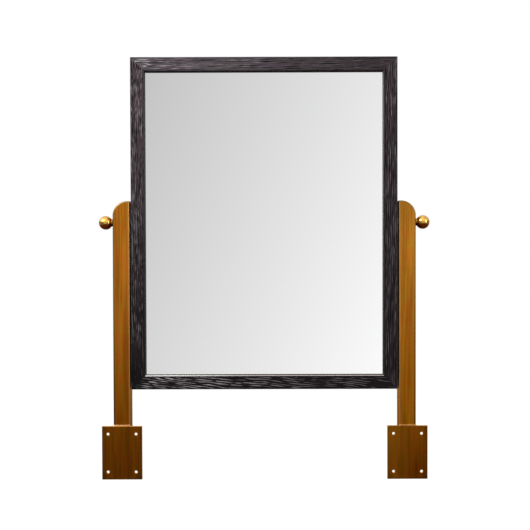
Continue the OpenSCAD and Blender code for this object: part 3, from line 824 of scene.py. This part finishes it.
def holed_plate(name, low, high, glow):
    """A plate with a hole in each quarter, whose grids run from each hole's rim to the quarter's border.

    The quarters' grids meet point to point. The rim is a band of rectangles with a rounded profile, and each hole is
    a band of circles down to its countersink. Points that coincide are merged.
    """
    centre, half = (low + high) / 2, (high - low) / 2
    half_x, half_z, thick = half[0] - PLATE_EDGE, half[2] - PLATE_EDGE, high[1] - low[1]
    hole = half[0] - HOLE_INSET_X, half[2] - HOLE_INSET_Z
    line_x, line_z = np.linspace(0, half_x, STEPS_X + 1), np.linspace(0, half_z, STEPS_Z + 1)
    border = np.concatenate([
        np.stack([line_x[:-1], 0 * line_x[:-1]], 1), np.stack([0 * line_z[:-1] + half_x, line_z[:-1]], 1),
        np.stack([line_x[:0:-1], 0 * line_x[:0:-1] + half_z], 1), np.stack([0 * line_z[:0:-1], line_z[:0:-1]], 1),
    ])
    away = border - hole
    away /= np.hypot(away[:, 0], away[:, 1])[:, None]
    share = np.linspace(0, 1, STEPS_OUT + 1)[:, None, None]
    lands = np.array(RIM_LANDS)[:, None, None]
    bore = [(HOLE_RADIUS + HOLE_EASE, 0.0), (HOLE_RADIUS + HOLE_EASE / 4, HOLE_EASE / 4), (HOLE_RADIUS, HOLE_EASE),
            (HOLE_RADIUS, thick - (SINK_RADIUS - HOLE_RADIUS)), (SINK_RADIUS, thick)]
    grids = []
    for quarter in ((1, 1), (-1, 1), (-1, -1), (1, -1)):
        for radius, depth in (bore[0], bore[-1]):
            near = hole + away * (radius + lands)
            grid = np.concatenate([near[:-1], near[-1] * (1 - share) + border * share]) * quarter
            grids.append(np.dstack([grid[..., 0], 0 * grid[..., 0] + depth, grid[..., 1]]))
        wall = np.array([hole + away * radius for radius, _ in bore]) * quarter
        depths = np.array([depth for _, depth in bore])[:, None] + 0 * wall[..., 0]
        grids.append(np.dstack([wall[..., 0], depths, wall[..., 1]]))
    turn = np.linspace(0, math.pi / 2, PLATE_EDGE_POINTS)
    profile = np.stack([PLATE_EDGE * np.sin(turn), PLATE_EDGE * (1 - np.cos(turn))], 1)
    profile = np.vstack([profile, (0, thick) + profile[::-1] * (1, -1)])
    side = np.concatenate([
        np.stack([0 * line_z + half_x, line_z], 1)[:-1], np.stack([line_x[::-1], 0 * line_x + half_z], 1)[:-1]])
    loop = np.concatenate([side, side[::-1] * (-1, 1), side * (-1, -1), side[::-1] * (1, -1)])
    out, depth = profile.T[:, :, None]
    band = loop[:, 0] * (1 + out / half_x), depth + 0 * loop[:, 0], loop[:, 1] * (1 + out / half_z)
    grids.append(np.stack(band, axis=-1))
    starts = np.cumsum([0] + [grid[..., 0].size for grid in grids[:-1]])
    quads = np.vstack([start + ring_quads(*grid.shape[:2]) for start, grid in zip(starts, grids)])
    points = np.vstack([grid.reshape(-1, 3) for grid in grids]) + (centre[0], low[1], centre[2])
    mesh = bpy.data.meshes.new(name)
    mesh.from_pydata(points * MM, [], quads.tolist())
    shell = bmesh.new()
    shell.from_mesh(mesh)
    bmesh.ops.remove_doubles(shell, verts=shell.verts, dist=0.001 * MM)
    bmesh.ops.dissolve_degenerate(shell, edges=shell.edges, dist=0.0001 * MM)
    shell.to_mesh(mesh)
    shell.free()
    place = np.zeros(3 * len(mesh.vertices))
    mesh.vertices.foreach_get("co", place)
    carry(mesh, plate_wear(place.reshape(-1, 3) / MM - centre, half, hole, glow))
    return mesh


for side, sign in SIDES:
    low, high = node_box(side + "_screw_plate")
    plate_rear, plate_top = high[1], -low[2]
    high[2] = plate_top
    finish = aged_brass(side + "_plate_brass", *PLATE_COLOURS[side], *PLATE_FADE, FLECK_COLOUR,
                        rounded=(FILED_COLOUR, FILED_COLOUR), flecks=0.6)
    mesh = holed_plate(side + "_plate", low, high, PLATE_GLOW[side])
    piece(side + "_foot_plate", mesh, finish, "stand", side + "_screw_plate")


# The brazing: a small concave fillet of pale filler along the top of each plate, across the front of the post and a
# little past its sides, where it thins out. It is a quarter lower in the middle, and runs forward over most of
# the plate's top edge. Its paleness is partly the filler's own colour and partly a painted highlight along that edge,
# and the left one is paler, as painted light from the left lamp.
FILLET, FILLET_PAST, FILLET_RUN = 1.5, 1.0, 2.3
FILLET_STEPS, FILLET_TURN_STEPS = 48, 8
# Painted light: the left fillet's shades are paler than the right's.
BRAZE_COLOURS = {"left": ((206, 160, 104), (226, 186, 128)), "right": ((176, 126, 70), (204, 154, 94))}
for side, sign in SIDES:
    braze = plain_finish(side + "_braze", *BRAZE_COLOURS[side], roughness=0.34, grit=260.0)
    start, stop = post_low[0] - FILLET_PAST, post_high[0] + FILLET_PAST
    share = np.linspace(0, 1, FILLET_STEPS + 1)[:, None]
    from_end = (0.5 - np.abs(share - 0.5)) * (stop - start)
    swell = FILLET * (0.75 + 0.25 * (2 * share - 1) ** 2) * (0.15 + 0.85 * ease(from_end, 0, FILLET_PAST + 0.8))
    turn = np.linspace(0, math.pi / 2, FILLET_TURN_STEPS + 1)[None]
    y = np.hstack([plate_rear - FILLET_RUN * swell * (1 - np.sin(turn)), plate_rear + 0 * share])
    z = np.hstack([plate_top + swell * (1 - np.cos(turn)), plate_top + 0 * share])
    rings = np.stack([sign * (start + (stop - start) * share) + 0 * y, y, z], axis=-1)
    name = side + "_braze_fillet"
    piece(name, loft(name, rings), braze, "stand", side + "_screw_plate")


# The spacer sleeves: brass tubes on the studs inside the posts. They keep the walls from drawing in when a knob is
# tightened.
refinish("_sleeve", turned_brass)

# The end plugs: plugs of black nylon, pushed into the lower ends of the posts. They close the tube and cover its cut
# edge.
refinish("_end_plug", nylon)


# The knob washers: thin turned brass discs with eased rims, between the ball knobs and the posts. They are polished
# with the balls, and painted almost wholly dark, partly tarnish and partly painted shade between ball and post.
# The washer is painted almost wholly dark: partly tarnish, partly painted shade.
WASHER_EASE, STUD_PLAY, WASHER_DULL = 0.25, 0.1, 0.9
# The underside's painted shade, and the dark of the corner by the post, partly tarnish and partly painted shade.
POLISHED, UNDER_COLOUR, TARNISH_COLOUR = ((214, 160, 56), (224, 172, 68)), (200, 92, 8), (34, 15, 3)
washer_low, washer_high = node_box("right_knob_washer")
stud_low, stud_high = node_box("right_stud")
_, pivot_y, pivot_z = (stud_low + stud_high) / 2
stud_radius = (stud_high[2] - stud_low[2]) / 2
washer_radius = (washer_high[2] - washer_low[2]) / 2


def turned(profile, around=72):
    """Rings of a turned part about the pivot line: each pair of the profile is a place along X and a radius."""
    angle = np.linspace(0, 2 * math.pi, around, endpoint=False)[None]
    x, radius = np.array(profile).T[:, :, None]
    return np.stack([x + 0 * angle, pivot_y + radius * np.cos(angle), pivot_z + radius * np.sin(angle)], axis=-1)


# The polish: lacquered brass with a faint veil of handling. Its underside is painted browner and less lacquered, as
# painted shade, and the corner by the post is painted dark, partly tarnish and partly painted shade.
polish = Finish("polished_brass")
dull, under = polish.point_values("dull", "under")
veil = polish.noise(130.0, 4.0)
colour = polish.mix(polish.mix(*POLISHED, polish.band(veil, 0.35, 0.65)), UNDER_COLOUR, under * 0.95)
polished_brass = polish.surface({
    "Base Color": polish.mix(colour, TARNISH_COLOUR, dull), "Metallic": 1.0,
    "Roughness": polish.band(veil, 0.3, 0.7, 0.06, 0.12) + dull * 0.3,
    "Normal": polish.bump(polish.noise(1500.0, 2.0), 0.12, 0.02),
    "Coat Weight": (1 - dull) * (1 - under * 0.85), "Coat Roughness": 0.05})
washer_profile = [
    (washer_low[0], stud_radius + STUD_PLAY), (washer_low[0], washer_radius - WASHER_EASE),
    (washer_low[0] + WASHER_EASE, washer_radius), (washer_high[0] - WASHER_EASE, washer_radius),
    (washer_high[0], washer_radius - WASHER_EASE), (washer_high[0], stud_radius + STUD_PLAY),
]
for side, sign in SIDES:
    rings = turned(washer_profile) * (sign, 1, 1)
    none = 0 * rings[..., 0]
    mesh = loft(side + "_thin_washer", rings, closed=True, dull=none + WASHER_DULL, under=none)
    piece(side + "_thin_washer", mesh, polished_brass, side + "_washer", side + "_knob_washer")


# The ball knobs: brass balls turned with a short neck, polished, and fixed on their studs. The neck flows into the
# ball through a small hollow.
NECK_RADIUS, NECK_EASE, HOLLOW, SEAT, BALL_POINTS = 5.5, 0.3, 0.6, 0.03, 44
# How far the dark corner by the post and the painted shade of the underside reach.
TARNISH_REACH, TARNISH_FULL, UNDER_FROM, UNDER_FULL = 4.2, 1.6, 0.05, 0.45
knob_low, knob_high = node_box("right_ball_knob")
ball_radius = (knob_high[2] - knob_low[2]) / 2
ball_x, seat_x = knob_high[0] - ball_radius, knob_low[0] + SEAT
join = math.asin((NECK_RADIUS + HOLLOW) / ball_radius)
join_x = ball_x - ball_radius * math.cos(join)
ball_turn = np.linspace(join, math.pi - 0.002, BALL_POINTS)
knob_profile = [
    (seat_x, stud_radius), (seat_x, NECK_RADIUS - NECK_EASE), (seat_x + NECK_EASE, NECK_RADIUS),
    (join_x - HOLLOW, NECK_RADIUS), (join_x - 0.3 * HOLLOW, NECK_RADIUS + 0.3 * HOLLOW),
    *zip(ball_x - ball_radius * np.cos(ball_turn), ball_radius * np.sin(ball_turn)),
]
for side, sign in SIDES:
    rings = turned(knob_profile) * (sign, 1, 1)
    # Painted shade on the underside, and in the corner by the post, which is partly tarnish too.
    in_corner = ease(knob_low[0] - np.abs(rings[..., 0]), -TARNISH_REACH, -TARNISH_FULL)
    below = ease((pivot_z - rings[..., 2]) / ball_radius, UNDER_FROM, UNDER_FULL)
    mesh = loft(side + "_knob", rings, dull=in_corner * (0.6 + 0.32 * below), under=below)
    piece(side + "_knob", mesh, polished_brass, side + "_knob", side + "_ball_knob")


# The studs: threaded brass rods, fixed in the balls. Each runs through its post and screws into the insert in the
# stile.
refinish("_stud", turned_brass)
